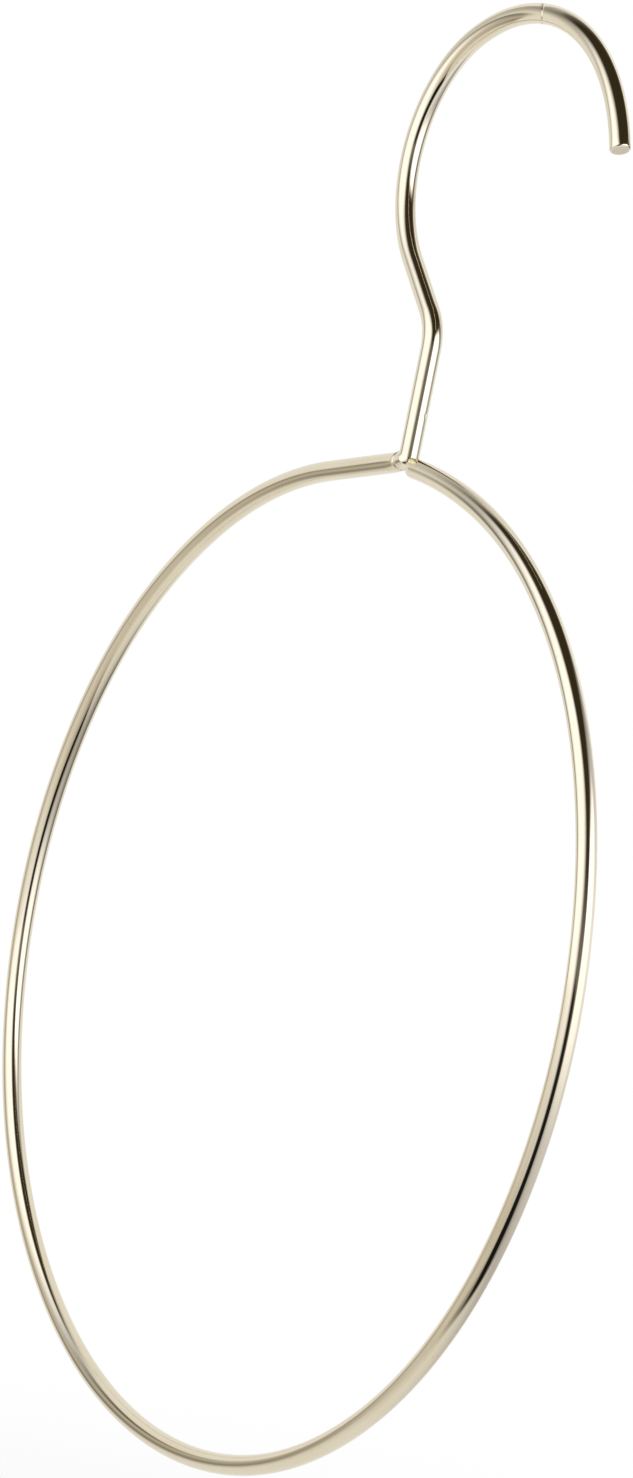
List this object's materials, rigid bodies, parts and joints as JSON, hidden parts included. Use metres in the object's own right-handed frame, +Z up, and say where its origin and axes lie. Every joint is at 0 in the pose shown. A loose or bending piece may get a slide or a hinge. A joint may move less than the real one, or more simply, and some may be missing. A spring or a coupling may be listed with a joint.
{
  "type": "tie hanger",
  "caption": "Tie hanger of bent round wire: a plain ring that ties hang over, with an open hook welded to its top that hangs on a wardrobe rail.",
  "frame": {"origin": "rail seat: the inside of the hook's crown, where the rail carries the hanger", "axes": "+Z up, +X towards the hook's open side, +Y square to the plane in which the wires are bent"},
  "size_m": [0.1999, 0.0042, 0.2897],
  "materials": {
    "plated_wire": "bright pale champagne-gold plating on drawn steel wire",
    "brass_braze": "satin brass filler, more golden than the plating"
  },
  "bodies": {
    "root": {"ring_wire": "plated_wire", "hook_wire": "plated_wire", "seam_weld": "plated_wire", "braze_bead": "brass_braze"}
  },
  "joints": []
}
